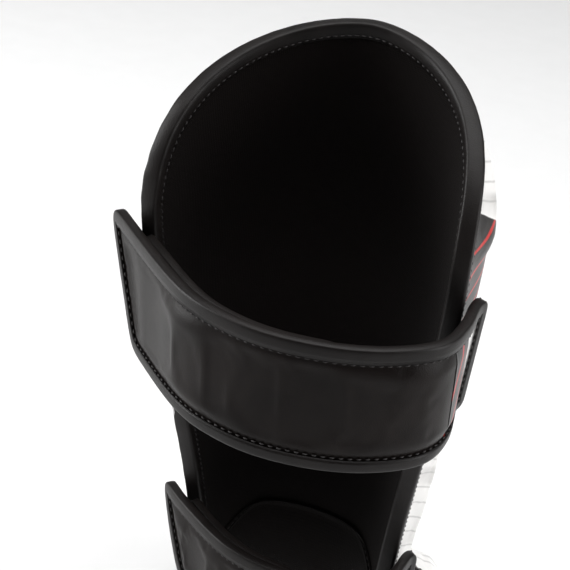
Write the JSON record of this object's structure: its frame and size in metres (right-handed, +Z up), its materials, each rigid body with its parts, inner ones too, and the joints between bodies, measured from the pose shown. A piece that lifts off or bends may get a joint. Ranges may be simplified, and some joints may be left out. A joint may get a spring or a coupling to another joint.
{
  "type": "shin and instep guard",
  "caption": "Padded shin and instep guard with an arched, wrapped shell, bound edges, hook and loop closing straps over inner flaps and an elastic band under the foot.",
  "frame": {"origin": "centre of the underside of the elastic band under the foot", "axes": "+Z up the leg; the shin faces -Y and the calf is at +Y; the plane X = 0 cuts the padded shell in half"},
  "size_m": [0.2174, 0.2624, 0.448],
  "materials": {
    "black_lining": "dull woven",
    "soft_foam": "open cell foam",
    "dense_foam": "closed cell foam",
    "printed_cover": "semi-gloss, printed",
    "black_leather": "semi-gloss",
    "strap_leather": "semi-gloss, fine grain",
    "printed_panel": "semi-gloss, printed",
    "hook_tape": "hook tape",
    "loop_tape": "loop pile",
    "elastic": "woven elastic",
    "flap_cover": "semi-gloss"
  },
  "bodies": {
    "shin": {"shin_lining": "black_lining", "shin_comfort_foam": "soft_foam", "shin_impact_foam": "dense_foam", "shin_cover": "printed_cover", "shin_edge_binding": "black_leather", "ankle_hinge_seam": "black_leather"},
    "upper_strap": {"upper_strap_backing": "black_lining", "upper_strap_foam": "soft_foam", "upper_strap_face": "strap_leather", "upper_strap_root_panel": "printed_panel", "upper_strap_binding": "black_leather", "upper_strap_hook_patch": "hook_tape"},
    "upper_flap": {"upper_flap_lining": "black_lining", "upper_flap_foam": "soft_foam", "upper_flap_cover": "flap_cover", "upper_flap_binding": "black_leather", "upper_flap_loop_patch": "loop_tape"},
    "lower_strap": {"lower_strap_backing": "black_lining", "lower_strap_foam": "soft_foam", "lower_strap_face": "strap_leather", "lower_strap_root_panel": "printed_panel", "lower_strap_binding": "black_leather", "lower_strap_hook_patch": "hook_tape"},
    "lower_flap": {"lower_flap_lining": "black_lining", "lower_flap_foam": "soft_foam", "lower_flap_cover": "flap_cover", "lower_flap_binding": "black_leather", "lower_flap_loop_patch": "loop_tape"},
    "instep": {"instep_lining": "black_lining", "instep_comfort_foam": "soft_foam", "instep_impact_foam": "dense_foam", "instep_cover": "printed_cover", "instep_edge_binding": "black_leather", "sole_band": "elastic"}
  },
  "joints": [
    {"name": "ankle_flex", "type": "hinge", "parent": "shin", "child": "instep", "pos_m": [0, 0.04224, 0.10216], "axis": [1, 0, 0], "range_deg": [-28, 30]},
    {"name": "upper_strap_open", "type": "hinge", "parent": "shin", "child": "upper_strap", "pos_m": [-0.09224, 0.10845, 0.3022], "axis": [-0.083, 0.13, 0.988], "range_deg": [0, 80]},
    {"name": "lower_strap_open", "type": "hinge", "parent": "shin", "child": "lower_strap", "pos_m": [-0.07295, 0.08071, 0.11365], "axis": [-0.07, 0.094, 0.9931], "range_deg": [0, 80]},
    {"name": "upper_flap_flex", "type": "hinge", "parent": "shin", "child": "upper_flap", "pos_m": [0.0823, 0.12849, 0.30303], "axis": [0.097, 0.169, 0.9808], "range_deg": [0, 15]},
    {"name": "lower_flap_flex", "type": "hinge", "parent": "shin", "child": "lower_flap", "pos_m": [0.06012, 0.09209, 0.1146], "axis": [0.077, 0.121, 0.9897], "range_deg": [0, 15]}
  ]
}
